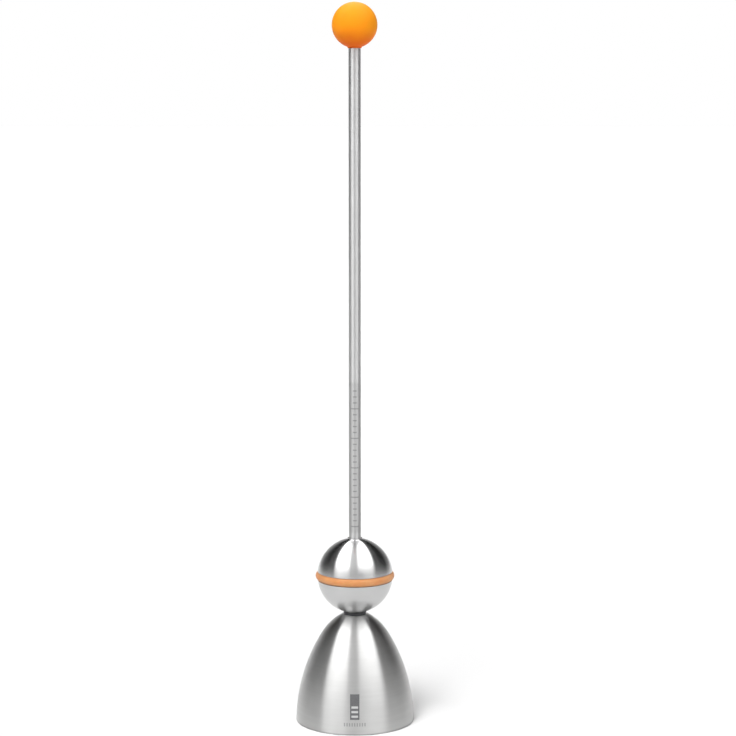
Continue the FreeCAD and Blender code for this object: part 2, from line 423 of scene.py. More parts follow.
def ring_recipe() -> Recipe:
    """Sweeps a round section round a circle, with a fine mould line along its outside.

    Returns:
        The recipe. It takes no geometry.
    """
    recipe = Recipe("round section ring", {
        "Ring Radius": "Float", "Section Radius": "Float", "Height": "Float",
        "Flash Height": "Float", "Flash Width": "Float", "Corner": "Float",
        "Ring Segments": "Int", "Section Segments": "Int"})
    path = recipe.node("GeometryNodeCurvePrimitiveCircle", sockets={
        "Resolution": recipe.given("Ring Segments"), "Radius": recipe.given("Ring Radius")})
    section = recipe.node("GeometryNodeCurvePrimitiveCircle", sockets={
        "Resolution": recipe.given("Section Segments"), "Radius": recipe.given("Section Radius")})
    swept = recipe.node("GeometryNodeCurveToMesh", sockets={
        "Curve": path.outputs[0], "Profile Curve": section.outputs[0]})

    x, y, z = recipe.split(recipe.position())
    radius = recipe.distance(x, y)
    outside = recipe.sum("GREATER_THAN", radius, recipe.given("Ring Radius"))
    near = recipe.sum("MAXIMUM", 1 - recipe.sum("ABSOLUTE", z) / recipe.given("Flash Width"), 0.0)
    growth = near * outside * recipe.given("Flash Height") / radius
    placed = recipe.node("GeometryNodeSetPosition", sockets={
        "Geometry": swept.outputs[0],
        "Offset": recipe.join(x * growth, y * growth, recipe.given("Height"))})
    return recipe.end(crisp_corners(recipe, placed.outputs[0]))


SHELL_WELD = 0.1              # a mark's points join when nearer than this share of its height


def marks_recipe() -> Recipe:
    """Wraps a line of bars on the front of a piece, as thin shells that are closed all round.

    Returns:
        The recipe. Its geometry is the mesh that the bars lie on.
    """
    recipe = Recipe("etched bars", {
        "Count": "Int", "First": "Vector", "Step": "Vector", "Bar Height": "Float",
        "Bar Width": "Float", "Long Width": "Float", "Long Every": "Int", "Proud": "Float",
        "Reach": "Float", "Columns": "Int", "Rows": "Int"})
    steps = recipe.node("GeometryNodeMeshLine", sockets={
        "Count": recipe.given("Count"), "Start Location": recipe.given("First"),
        "Offset": recipe.given("Step")})
    bar = recipe.node("GeometryNodeMeshGrid", sockets={
        "Size X": 1.0, "Size Y": recipe.given("Bar Height"),
        "Vertices X": recipe.given("Columns"), "Vertices Y": recipe.given("Rows")})
    upright = recipe.node("GeometryNodeTransform", sockets={
        "Geometry": bar.outputs["Mesh"], "Rotation": Euler((math.pi / 2, 0.0, 0.0))})
    number = recipe.out(recipe.node("GeometryNodeInputIndex"))
    long_one = recipe.sum("LESS_THAN", recipe.sum("MODULO", number, recipe.given("Long Every")), 0.5)
    extra = recipe.given("Long Width") - recipe.given("Bar Width")
    width = recipe.given("Bar Width") + long_one * extra
    ladder = recipe.node("GeometryNodeInstanceOnPoints", sockets={
        "Points": steps.outputs[0], "Instance": upright.outputs[0],
        "Scale": recipe.join(width, 1.0, 1.0)})
    flat = recipe.node("GeometryNodeRealizeInstances", sockets={"Geometry": ladder.outputs[0]})

    hit = recipe.node("GeometryNodeRaycast", sockets={
        "Target Geometry": recipe.given("Geometry"), "Ray Direction": (0.0, 1.0, 0.0),
        "Ray Length": recipe.given("Reach")})
    lift = recipe.vector_sum("SCALE", hit.outputs["Hit Normal"])
    recipe.plug(recipe.find(lift.socket.node.inputs, "Scale"), recipe.given("Proud"))
    sunk = recipe.node("GeometryNodeSetPosition", sockets={
        "Geometry": flat.outputs[0],
        "Position": recipe.vector_sum("SUBTRACT", hit.outputs["Hit Position"], lift)})
    normal = recipe.node("GeometryNodeInputNormal").outputs[0]
    raised = recipe.node("GeometryNodeExtrudeMesh", {"mode": "FACES"}, {
        "Mesh": sunk.outputs[0], "Offset": normal, "Offset Scale": recipe.given("Proud") * 2,
        "Individual": False})
    back = recipe.node("GeometryNodeFlipFaces", sockets={"Mesh": sunk.outputs[0]})
    shells = recipe.node("GeometryNodeJoinGeometry", sockets={0: raised.outputs["Mesh"]})
    recipe.plug(shells.inputs[0], back.outputs[0])
    closed = recipe.node("GeometryNodeMergeByDistance", sockets={
        "Geometry": shells.outputs[0], "Distance": recipe.given("Proud") * SHELL_WELD})
    return recipe.end(closed.outputs[0])


# ---------------------------------------------------------------------------------------
# Finishes
# ---------------------------------------------------------------------------------------

ROUND_THE_AXIS = 0.25         # the turn of an anisotropic shader that lays its lines level
NOISE_LOW = 0.35              # where a noise starts to show in a colour
NOISE_HIGH = 0.65             # where it shows in full


def shade(colour: Colour, share: float) -> Colour:
    """A share of a colour."""
    return tuple(share * part for part in colour)


@dataclass(frozen=True)
class TurnedSteel:
    """Steel whose tool lines run round the axis.

    Lines, drift and patches are counted per metre: the lines across themselves, and the drift
    along them. The streaks are as many times wider than the lines as streak_width says.
    """

    name: str
    colour: Colour
    roughness: float
    stretch: float
    line_depth: float
    lines: float = 9000.0
    drift: float = 60.0
    patches: float = 150.0
    line_detail: float = 3.0
    streak_width: float = 8.0
    streak_detail: float = 2.0
    streak_share: float = 0.7
    dull_share: float = 0.96
    even_roughness: float = 0.8
    line_roughness: float = 0.25
    patch_roughness: float = 0.15
    metal: float = 1.0

    def make(self) -> bpy.types.Material:
        """Builds the material: fine lines, slow streaks and handling patches.

        Returns:
            The material.
        """
        paint = Paint(self.name)
        fine = paint.turned_noise(self.lines, self.drift, self.line_detail)
        streaks = paint.turned_noise(self.lines / self.streak_width, self.drift,
                                     self.streak_detail)
        patches = paint.noise(self.patches)
        mixed = streaks * self.streak_share + patches * (1 - self.streak_share)
        dull = shade(self.colour, self.dull_share)
        uneven = self.even_roughness + self.line_roughness * fine + self.patch_roughness * patches
        return paint.coat(self.treat(paint, {
            "Base Color": paint.blend(paint.ease(mixed, NOISE_LOW, NOISE_HIGH), dull, self.colour),
            "Metallic": self.metal, "Roughness": self.roughness * uneven,
            "Anisotropic": self.stretch, "Anisotropic Rotation": ROUND_THE_AXIS,
            "Normal": paint.bump(fine, self.line_depth)}))

    def treat(self, paint: Paint, look: dict[str, Value]) -> dict[str, Value]:
        """Leaves the look as it is, for steel that is finished the same all over."""
        return look


@dataclass(frozen=True)
class FootShadedSteel(TurnedSteel):
    """Brushed steel with painted shade along its lowest edge, as a contact shadow where it stands.
    """

    shade_height: float = 0.45 * MM
    shade_fade: float = 0.25 * MM
    shade_tone: float = 0.72

    def treat(self, paint: Paint, look: dict[str, Value]) -> dict[str, Value]:
        """Paints shade along the lowest edge, as a contact shadow.

        Args:
            paint: the material.
            look: what goes into its shader elsewhere.

        Returns:
            What goes into its shader.
        """
        _, _, height = paint.split(paint.place)
        # painted shade: below this height the colour darkens, a painted contact shadow at the foot
        edge = paint.ease(height, self.shade_height, self.shade_height + self.shade_fade, 1.0, 0.0)
        dark = shade(self.colour, self.shade_tone)
        return {**look, "Base Color": paint.blend(edge, look["Base Color"], dark)}


@dataclass(frozen=True)
class GroundRod(TurnedSteel):
    """Ground steel with a frosted stretch, which carries the lift scale.

    Its streaks are as fine as its lines.
    """

    streak_width: float = 1.0
    streak_detail: float = 3.0
    streak_share: float = 0.6
    dull_share: float = 0.92
    frost_low: float = 65.5 * MM
    frost_high: float = 115.0 * MM
    frost_fade: float = 1.5 * MM
    frost_tone: float = 0.78
    frost_roughness: float = 0.06
    frost_metal: float = 0.7

    def treat(self, paint: Paint, look: dict[str, Value]) -> dict[str, Value]:
        """Frosts the stretch between two heights.

        Args:
            paint: the material.
            look: what goes into its shader elsewhere.

        Returns:
            What goes into its shader.
        """
        _, _, height = paint.split(paint.place)
        start = paint.ease(height, self.frost_low - self.frost_fade, self.frost_low)
        end = paint.ease(height, self.frost_high, self.frost_high + self.frost_fade)
        frost = start * (1 - end)
        pale = shade(self.colour, self.frost_tone)
        return {**look, "Base Color": paint.blend(frost, look["Base Color"], pale),
                "Metallic": self.metal - (self.metal - self.frost_metal) * frost,
                "Roughness": look["Roughness"] + self.frost_roughness * frost}


@dataclass(frozen=True)
class Etching:
    """Matt steel where marks are etched: an oxide with a fine uneven grain."""

    name: str
    colour: Colour
    light: Colour
    roughness: float = 0.5
    grain_roughness: float = 0.15
    metal: float = 0.6
    grain: float = 9000.0
    grain_detail: float = 3.0
    grain_depth: float = 0.004 * MM

    def make(self) -> bpy.types.Material:
        """Builds the material.

        Returns:
            The material.
        """
        paint = Paint(self.name)
        grain = paint.noise(self.grain, self.grain_detail)
        tone = paint.ease(grain, NOISE_LOW, NOISE_HIGH)
        return paint.coat({
            "Base Color": paint.blend(tone, self.colour, self.light), "Metallic": self.metal,
            "Roughness": self.roughness + self.grain_roughness * grain,
            "Normal": paint.bump(grain, self.grain_depth)})


@dataclass(frozen=True)
class Silicone:
    """Matt rubber with a fine skin and a few paler clouds."""

    name: str
    colour: Colour
    pale: Colour
    grain: float = 4000.0
    grain_detail: float = 3.0
    grain_depth: float = 0.01 * MM
    clouds: float = 180.0
    cloud_share: float = 0.8
    cloud_full: float = 0.7
    roughness: float = 0.5
    grain_roughness: float = 0.15
    refraction: float = 1.41
    sheen: float = 0.15
    depth_share: float = 0.25
    depth: float = 0.6 * MM
    depth_colour: Colour = (1.0, 0.35, 0.15)

    def make(self) -> bpy.types.Material:
        """Builds the material.

        Returns:
            The material.
        """
        paint = Paint(self.name)
        grain = paint.noise(self.grain, self.grain_detail)
        clouds = paint.noise(self.clouds)
        mixed = clouds * self.cloud_share + grain * (1 - self.cloud_share)
        tone = paint.ease(mixed, NOISE_LOW, self.cloud_full)
        return paint.coat({
            "Base Color": paint.blend(tone, self.colour, self.pale),
            "Roughness": self.roughness + self.grain_roughness * grain,
            "IOR": self.refraction, "Sheen Weight": self.sheen,
            "Subsurface Weight": self.depth_share, "Subsurface Radius": self.depth_colour,
            "Subsurface Scale": self.depth, "Normal": paint.bump(grain, self.grain_depth)})


@dataclass(frozen=True)
class MouldedPlastic:
    """Satin plastic, a little see-through in its skin, with a mould's faint grain.

    Its colour is painted: a highlight paler towards the top, and shade towards the foot, where the
    rod goes in.
    """

    name: str
    pale: Colour
    colour: Colour
    shaded_foot_colour: Colour
    grain: float = 5000.0
    grain_detail: float = 3.0
    grain_depth: float = 0.004 * MM
    clouds: float = 120.0
    cloud_drift: float = 0.15
    roughness: float = 0.38
    grain_roughness: float = 0.1
    cloud_roughness: float = 0.06
    refraction: float = 1.49
    gloss: float = 0.06
    depth_share: float = 0.35
    depth: float = 1.5 * MM
    depth_colour: Colour = (1.0, 0.35, 0.1)

    def make(self, foot: float, top: float) -> bpy.types.Material:
        """Builds the material.

        Args:
            foot: the height of the piece's foot.
            top: the height of its top.

        Returns:
            The material.
        """
        paint = Paint(self.name)
        _, _, height = paint.split(paint.place)
        grain = paint.noise(self.grain, self.grain_detail)
        clouds = paint.noise(self.clouds)
        level = height + (clouds - 0.5) * (self.cloud_drift * (top - foot))
        middle = (foot + top) / 2
        # painted light: the colour runs from painted shade at the foot to a painted highlight at the
        # top
        below = paint.blend(paint.ease(level, foot, middle), self.shaded_foot_colour, self.colour)
        rough = self.roughness + self.grain_roughness * grain + self.cloud_roughness * clouds
        return paint.coat({
            "Base Color": paint.blend(paint.ease(level, middle, top), below, self.pale),
            "Roughness": rough, "IOR": self.refraction, "Specular IOR Level": self.gloss,
            "Subsurface Weight": self.depth_share, "Subsurface Radius": self.depth_colour,
            "Subsurface Scale": self.depth, "Normal": paint.bump(grain, self.grain_depth)})


# ---------------------------------------------------------------------------------------
# Turned forms
# ---------------------------------------------------------------------------------------


class Profile:
    """The half-section of a turned piece, as radius and height.

    It runs up the outside and down the inside, so that the turned faces point outwards.
    """

    CHORD_ERROR = 0.002 * MM            # how far a straight step may leave its arc
    WIDEST_STEP = math.radians(5.0)

    def __init__(self, radius: float, height: float) -> None:
        """Starts a profile at its first point."""
        self.points: list[Point] = [(radius, height)]

    def line(self, *points: Point) -> "Profile":
        """Goes straight through points, and returns the profile."""
        self.points.extend(points)
        return self

    def arc(self, end: Point, centre: Point) -> "Profile":
        """Goes the short way round a centre.

        Args:
            end: where the arc ends.
            centre: the arc's centre.

        Returns:
            The profile.
        """
        start = self.points[-1]
        reach = math.dist(start, centre)
        first = math.atan2(start[1] - centre[1], start[0] - centre[0])
        last = math.atan2(end[1] - centre[1], end[0] - centre[0])
        turn = (last - first + math.pi) % math.tau - math.pi
        widest = min(2 * math.acos(1 - self.CHORD_ERROR / reach), self.WIDEST_STEP)
        steps = max(2, math.ceil(abs(turn) / widest))
        for number in range(1, steps):
            angle = first + turn * number / steps
            self.points.append((centre[0] + reach * math.cos(angle),
                                centre[1] + reach * math.sin(angle)))
        self.points.append(end)
        return self


def put(name: str, data: bpy.types.ID) -> bpy.types.Object:
    """Puts a new object into the scene.

    Args:
        name: the object's name.
        data: its mesh, lamp or camera.

    Returns:
        The object.
    """
    made = bpy.data.objects.new(name, data)
    bpy.context.scene.collection.objects.link(made)
    return made


class Workshop:
    """The machines that make the pieces: one recipe for each way of making."""

    CORNER = math.radians(14.0)         # an edge that turns by more stays crisp
    WELD = 0.0001 * MM                  # points that are closer than this become one

    def __init__(self) -> None:
        """Builds the recipes."""
        self.turning = turning_recipe()
        self.ring = ring_recipe()
        self.bars = marks_recipe()

    @staticmethod
    def blank(name: str, points: Sequence[Place] = (), edges: Sequence[tuple] = (),
              faces: Sequence[tuple] = ()) -> bpy.types.Object:
        """Puts a plain mesh into the scene.

        Args:
            name: the object's name.
            points: its points.
            edges: its edges, by the numbers of their points.
            faces: its faces, by the numbers of their points.

        Returns:
            The object.
        """
        mesh = bpy.data.meshes.new(name)
        mesh.from_pydata(points, edges, faces)
        return put(name, mesh)

    def turn(self, name: str, profile: Profile, segments: int,
             material: bpy.types.Material) -> bpy.types.Object:
        """Turns a piece.

        Args:
            name: the piece's name.
            profile: its half-section.
            segments: how many faces go round it.
            material: its finish.

        Returns:
            The piece.
        """
        points = [(radius, 0.0, height) for radius, height in profile.points]
        piece = self.blank(name, points, [(i, i + 1) for i in range(len(points) - 1)])
        self.turning.apply(piece, {"Segments": segments, "Corner": self.CORNER,
                                   "Weld": self.WELD, "Material": material})
        return piece

    @staticmethod
    def mount(piece: bpy.types.Object, body: Body, slot: Slot, *nodes: str) -> None:
        """Hands a piece over: it rides on its body and stands for its nodes.

        Args:
            piece: the piece.
            body: what it moves with.
            slot: the record's slot of its finish; not used.
            nodes: the nodes that it stands for.
        """
        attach(piece, body.value)
        if nodes:
            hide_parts(*nodes)
        LOG.info("%s: %d faces, rides on %s", piece.name, len(piece.data.polygons), body.value)

    @staticmethod
    def dress(node: str, material: bpy.types.Material) -> None:
        """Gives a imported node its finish.

        Args:
            node: the node's name.
            material: the finish.
        """
        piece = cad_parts[node]
        piece.data.materials.clear()
        piece.data.materials.append(material)
        LOG.info("%s: dressed as %s", node, material.name)


# ---------------------------------------------------------------------------------------
# The egg topper
# ---------------------------------------------------------------------------------------


class WallCurve:
    """A round stretch of the bell's wall, which can be drawn at any depth inside it."""

    def __init__(self, start: Point, start_lean: float, end: Point) -> None:
        """Fits the one arc that leaves its start at a lean and meets its end.

        Args:
            start: where the stretch starts.
            start_lean: its lean there, from upright towards the axis.
            end: where the stretch ends.
        """
        towards = (-math.cos(start_lean), -math.sin(start_lean))
        chord = (end[0] - start[0], end[1] - start[1])
        along = chord[0] * towards[0] + chord[1] * towards[1]
        self.radius = (chord[0] ** 2 + chord[1] ** 2) / (2 * along)
        self.centre = (start[0] + towards[0] * self.radius, start[1] + towards[1] * self.radius)
        self.end_lean = math.atan2(end[1] - self.centre[1], end[0] - self.centre[0])

    def point(self, lean: float, depth: float = 0.0) -> Point:
        """The point with a lean, at a depth."""
        reach = self.radius - depth
        return (self.centre[0] + reach * math.cos(lean), self.centre[1] + reach * math.sin(lean))

    def at(self, height: float, depth: float = 0.0) -> Point:
        """The point at a height, at a depth."""
        return self.point(math.asin((height - self.centre[1]) / (self.radius - depth)), depth)


@dataclass(frozen=True)
class Bars:
    """A line of equal etched bars on a piece's front.

    They are shot onto it along +Y, from as many of its radii away as stand_off says.
    """

    first: Point
    step: Point
    count: int
    width: float
    height: float
    proud: float
    long_width: float | None = None
    long_every: int = 1
    columns: int = 12
    rows: int = 3
    stand_off: float = 3.0

    def lay(self, shop: Workshop, name: str, carrier: bpy.types.Object,
            finish: Etching) -> bpy.types.Object:
        """Lays the bars on the front of a piece.

        Args:
            shop: the recipes.
            name: the bars' name.
            carrier: the piece that they lie on.
            finish: their finish.

        Returns:
            The bars.
        """
        reach = self.stand_off * max(corner.co.x for corner in carrier.data.vertices)
        piece = shop.blank(name)
        piece.data = carrier.data.copy()
        shop.bars.apply(piece, {
            "Count": self.count, "First": (self.first[0], -reach, self.first[1]),
            "Step": (self.step[0], 0.0, self.step[1]), "Bar Height": self.height,
            "Bar Width": self.width, "Long Width": self.long_width or self.width,
            "Long Every": self.long_every, "Proud": self.proud, "Reach": reach,
            "Columns": self.columns, "Rows": self.rows, "Material": finish.make()})
        return piece


@dataclass(frozen=True)
class BellMarks:
    """Plain etched marks low on the bell's front: a panel with bars, over a row of ticks."""

    panel: Bars = Bars(first=(0.0, 9.5 * MM), step=(0.0, 0.0), count=1, width=3.1 * MM,
                       height=8.3 * MM, proud=0.01 * MM, columns=16, rows=32)
    bars: Bars = Bars(first=(0.0, 6.4 * MM), step=(0.0, 1.5 * MM), count=3, width=2.2 * MM,
                      height=0.7 * MM, proud=0.018 * MM)
    ticks: Bars = Bars(first=(-3.4 * MM, 3.7 * MM), step=(0.85 * MM, 0.0), count=9,
                       width=0.42 * MM, height=1.15 * MM, proud=0.01 * MM, columns=4, rows=5)
    dark: Etching = Etching("etched bell panel", colour=(0.1, 0.1, 0.105), light=(0.18, 0.18, 0.185))
    pale: Etching = Etching("bare bell bars", colour=(0.5, 0.5, 0.5), light=(0.6, 0.6, 0.6))
    faint: Etching = Etching("faint bell ticks", colour=(0.3, 0.3, 0.3), light=(0.38, 0.38, 0.38))

    def build(self, shop: Workshop, shell: bpy.types.Object) -> list[bpy.types.Object]:
        """Lays the marks on the bell.

        Args:
            shop: the recipes.
            shell: the bell.

        Returns:
            The panel, its bars and the row of ticks.
        """
        return [self.panel.lay(shop, "bell_mark_panel", shell, self.dark),
                self.bars.lay(shop, "bell_mark_bars", shell, self.pale),
                self.ticks.lay(shop, "bell_mark_ticks", shell, self.faint)]


@dataclass
class Bell:
    """The cup that stands on the egg, with the collar on its crown, and washer and nut below."""

    mouth_lean: float = math.radians(0.8)
    shoulder: Point = (11.3 * MM, 30.0 * MM)
    seat_radius: float = 4.2 * MM
    wall: float = 1.5 * MM
    crown_thickness: float = 2.5 * MM
    hole_radius: float = 2.1 * MM
    land_inner_radius: float = 19.05 * MM
    rim_bevel_height: float = 0.7 * MM
    rim_round: float = 0.35 * MM
    segments: int = 192
    marks: BellMarks = BellMarks()
    # the bell's steel carries painted shade along its lowest edge
    steel: TurnedSteel = FootShadedSteel("brushed bell steel", colour=(0.57, 0.57, 0.565),
                                     roughness=0.32, stretch=1.0, line_depth=0.0006 * MM)
    fasteners: TurnedSteel = TurnedSteel("turned fastener steel", colour=(0.5, 0.5, 0.49),
                                         roughness=0.3, stretch=0.5, line_depth=0.003 * MM)
    # painted shade: the collar's near-black colour stands in for the shade in the narrow gap under
    # the ball
    collar: TurnedSteel = TurnedSteel("painted shade collar steel", colour=(0.06, 0.06, 0.063),
                                      roughness=0.32, stretch=0.6, line_depth=0.002 * MM)

    def profile(self) -> Profile:
        """Draws the bell's half-section.

        Returns:
            The profile.
        """
        _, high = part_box("bell")
        side = WallCurve((high.x, 0.0), self.mouth_lean, self.shoulder)
        crown = WallCurve(self.shoulder, side.end_lean, (self.seat_radius, high.z))
        land_outer = (high.x - self.rim_round, 0.0)
        land_inner = (self.land_inner_radius, 0.0)
        washer_seat = high.z - self.crown_thickness

        drawn = Profile(*land_inner).line(land_outer)
        drawn.arc(side.at(self.rim_round), (land_outer[0], self.rim_round))
        drawn.arc(self.shoulder, side.centre).arc((self.seat_radius, high.z), crown.centre)
        drawn.line((self.hole_radius, high.z), (self.hole_radius, washer_seat))
        drawn.line(crown.at(washer_seat, self.wall))
        drawn.arc(side.point(side.end_lean, self.wall), crown.centre)
        drawn.arc(side.at(self.rim_bevel_height, self.wall), side.centre)
        return drawn.line(land_inner)

    def build(self, shop: Workshop) -> None:
        """Makes the bell and its marks, and dresses the collar, the washer and the nut.

        Args:
            shop: the recipes.
        """
        shell = shop.turn("bell_shell", self.profile(), self.segments, self.steel.make())
        marks = self.marks.build(shop, shell)
        shop.mount(shell, Body.STAND, Slot.BELL, "bell")
        for piece in marks:
            shop.mount(piece, Body.STAND, Slot.BELL)
        fasteners = self.fasteners.make()
        shop.dress("lock_washer", fasteners)
        shop.dress("cap_nut", fasteners)
        shop.dress("strike_collar", self.collar.make())


@dataclass
class Rod:
    """The rod between the nut and the knob, with its lift scale."""

    chamfer: float = 0.4 * MM
    segments: int = 96
    scale: Bars = Bars(first=(0.0, 67.0 * MM), step=(0.0, 2.0 * MM), count=24, width=1.3 * MM,
                       height=0.45 * MM, proud=0.008 * MM, long_width=2.5 * MM, long_every=5)
    steel: TurnedSteel = GroundRod("ground rod steel", colour=(0.6, 0.6, 0.6), roughness=0.34,
                                   stretch=1.0, line_depth=0.0012 * MM)
    grey: Etching = Etching("etched rod marks", colour=(0.26, 0.26, 0.26), light=(0.36, 0.36, 0.36))

    def build(self, shop: Workshop) -> None:
        """Makes the rod and its scale.

        Args:
            shop: the recipes.
        """
        low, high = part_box("rod")
        radius = high.x
        inner = radius - self.chamfer
        drawn = Profile(0.0, low.z).line(
            (inner, low.z), (radius, low.z + self.chamfer),
            (radius, high.z - self.chamfer), (inner, high.z), (0.0, high.z))
        body = shop.turn("rod_body", drawn, self.segments, self.steel.make())
        ticks = self.scale.lay(shop, "rod_scale_marks", body, self.grey)
        shop.mount(body, Body.STAND, Slot.ROD, "rod")
        shop.mount(ticks, Body.STAND, Slot.ROD)


@dataclass
class Neck:
    """A short flared neck where a ball meets the rod."""

    ball_radius: float
    radius: float
    reach: float
    straight: float = 0.1 * MM

    def flare(self) -> tuple[Point, Point, Point]:
        """Fits the flare between the ball and the neck.

        Returns:
            Where it leaves the ball, its centre and where it meets the neck, as radius and
            distance from the ball's centre.
        """
        top = self.reach - self.straight
        gap = self.ball_radius - self.radius
        size = (self.radius ** 2 + top ** 2 - self.ball_radius ** 2) / (2 * gap)
        centre = (self.radius + size, top)
        share = self.ball_radius / (self.ball_radius + size)
        return (centre[0] * share, centre[1] * share), centre, (self.radius, top)


@dataclass
class GripRing:
    """The silicone ring in the ball's groove, a round section swept round the ball."""

    middle: float
    radius: float
    section: float
    flash_height: float = 0.02 * MM
    flash_width: float = 0.12 * MM
    corner: float = math.radians(35.0)
    segments: int = 224
    section_segments: int = 64
    rubber: Silicone = Silicone("orange ring silicone", colour=(0.59, 0.235, 0.07),
                                pale=(0.67, 0.31, 0.12))

    def build(self, shop: Workshop) -> None:
        """Makes the ring.

        Args:
            shop: the recipes.
        """
        piece = shop.blank("ring_body")
        shop.ring.apply(piece, {
            "Ring Radius": self.radius, "Section Radius": self.section, "Height": self.middle,
            "Flash Height": self.flash_height, "Flash Width": self.flash_width,
            "Corner": self.corner, "Ring Segments": self.segments,
            "Section Segments": self.section_segments, "Material": self.rubber.make()})
        shop.mount(piece, Body.WEIGHT, Slot.RING, "grip_ring")


@dataclass
class WeightBall:
    """The sliding ball, with a strike face below, a neck above and a groove for its ring."""

    radius: float = 12.7 * MM
    strike_radius: float = 3.5 * MM
    neck_radius: float = 2.5 * MM
    bore_radius: float = 2.1 * MM
    bore_chamfer: float = 0.2 * MM
    groove_clearance: float = 0.03 * MM
    segments: int = 192
    steel: TurnedSteel = TurnedSteel("polished ball steel", colour=(0.57, 0.57, 0.57),
                                     roughness=0.22, stretch=1.0, line_depth=0.0003 * MM,
                                     patches=90.0)

    def build(self, shop: Workshop) -> None:
        """Makes the ball and its ring.

        Args:
            shop: the recipes.
        """
        low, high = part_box("grip_ring")
        section = (high.z - low.z) / 2
        ring = GripRing(middle=(high.z + low.z) / 2, radius=high.x - section, section=section)
        ball = shop.turn("ball_body", self.profile(ring), self.segments, self.steel.make())
        shop.mount(ball, Body.WEIGHT, Slot.BALL, "weight_ball")
        ring.build(shop)

    def profile(self, ring: GripRing) -> Profile:
        """Draws the ball's half-section.

        Args:
            ring: the ring that sits in its groove, level with its centre.

        Returns:
            The profile.
        """
        low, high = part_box("weight_ball")
        middle = ring.middle
        centre = (0.0, middle)
        half = ring.section + self.groove_clearance
        edge = math.sqrt(self.radius ** 2 - half ** 2)
        groove = (ring.radius, middle)
        neck = Neck(self.radius, self.neck_radius, high.z - middle)
        leaves, bend, meets = neck.flare()
        mouth = self.bore_radius + self.bore_chamfer

        drawn = Profile(mouth, low.z).line((self.strike_radius, low.z))
        drawn.arc((edge, middle - half), centre).line((ring.radius, middle - half))
        drawn.arc((ring.radius - half, middle), groove).arc((ring.radius, middle + half), groove)
        drawn.line((edge, middle + half))
        drawn.arc((leaves[0], middle + leaves[1]), centre)
        drawn.arc((meets[0], middle + meets[1]), (bend[0], middle + bend[1]))
        drawn.line((self.neck_radius, high.z), (mouth, high.z))
        drawn.line((self.bore_radius, high.z - self.bore_chamfer))
        return drawn.line((self.bore_radius, low.z + self.bore_chamfer), (mouth, low.z))


@dataclass
class Knob:
    """The plastic ball knob on its brass insert."""

    radius: float = 7.5 * MM
    neck_radius: float = 2.3 * MM
    rod_hole_radius: float = 2.05 * MM
    insert_radius: float = 3.0 * MM
    waist_radius: float = 2.6 * MM
    waist_length: float = 2.0 * MM
    segments: int = 160
    # pale is a painted highlight for the top, and the foot colour is painted shade
    plastic: MouldedPlastic = MouldedPlastic(
        "orange knob plastic", pale=(0.95, 0.38, 0.018), colour=(0.96, 0.32, 0.009),
        shaded_foot_colour=(0.68, 0.115, 0.008))
    brass: TurnedSteel = TurnedSteel("turned brass", colour=(0.72, 0.5, 0.2), roughness=0.3,
                                     stretch=0.3, line_depth=0.003 * MM)

    def profile(self) -> Profile:
        """Draws the knob's half-section, from the top of its insert round the outside to its top.

        Returns:
            The profile.
        """
        low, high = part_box("knob")
        foot, top = (corner.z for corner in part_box("knob_insert"))
        middle = high.z - self.radius
        neck = Neck(self.radius, self.neck_radius, middle - low.z)
        leaves, bend, meets = neck.flare()
        waist = self.waist_length / 2
        drawn = Profile(0.0, top).line(
            (self.insert_radius, top), (self.insert_radius, middle + waist),
            (self.waist_radius, middle + waist), (self.waist_radius, middle - waist),
            (self.insert_radius, middle - waist), (self.insert_radius, foot),
            (self.rod_hole_radius, foot), (self.rod_hole_radius, low.z),
            (self.neck_radius, low.z), (self.neck_radius, middle - meets[1]))
        drawn.arc((leaves[0], middle - leaves[1]), (bend[0], middle - bend[1]))
        return drawn.arc((0.0, high.z), (0.0, middle))

    def build(self, shop: Workshop) -> None:
        """Makes the knob and dresses its insert.

        Args:
            shop: the recipes.
        """
        low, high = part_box("knob")
        body = shop.turn("knob_body", self.profile(), self.segments,
                         self.plastic.make(low.z, high.z))
        shop.mount(body, Body.STAND, Slot.KNOB, "knob")
        shop.dress("knob_insert", self.brass.make())


# ---------------------------------------------------------------------------------------
# The studio
# ---------------------------------------------------------------------------------------


@dataclass(frozen=True)
class Fan:
    """The stripes that a turned surface mirrors from one level of the tent, left to right.

    A white box stands on either side of the middle, and a black flag beyond each box. Each
    stop is the sine of a bearing, and the brightness there.
    """

    left_flag: Stops
    left_box: Stops
    middle: Stops
    right_box: Stops
    right_flag: Stops

    def stops(self) -> Stops:
        """All its stops in order."""
        return self.left_flag + self.left_box + self.middle + self.right_box + self.right_flag


# The rims of a turned surface mirror the same stripes at every level above the foot.
LEFT_RIM = ((-1.0, 0.45), (-0.97, 0.28), (-0.93, 0.14), (-0.87, 0.04))
RIGHT_RIM = ((0.97, 0.22), (1.0, 0.45))
HIGH_LEFT = (*LEFT_RIM, (-0.79, 0.015), (-0.71, 0.09))
HIGH_RIGHT = ((0.7, 0.1), (0.78, 0.015), (0.88, 0.02), *RIGHT_RIM)

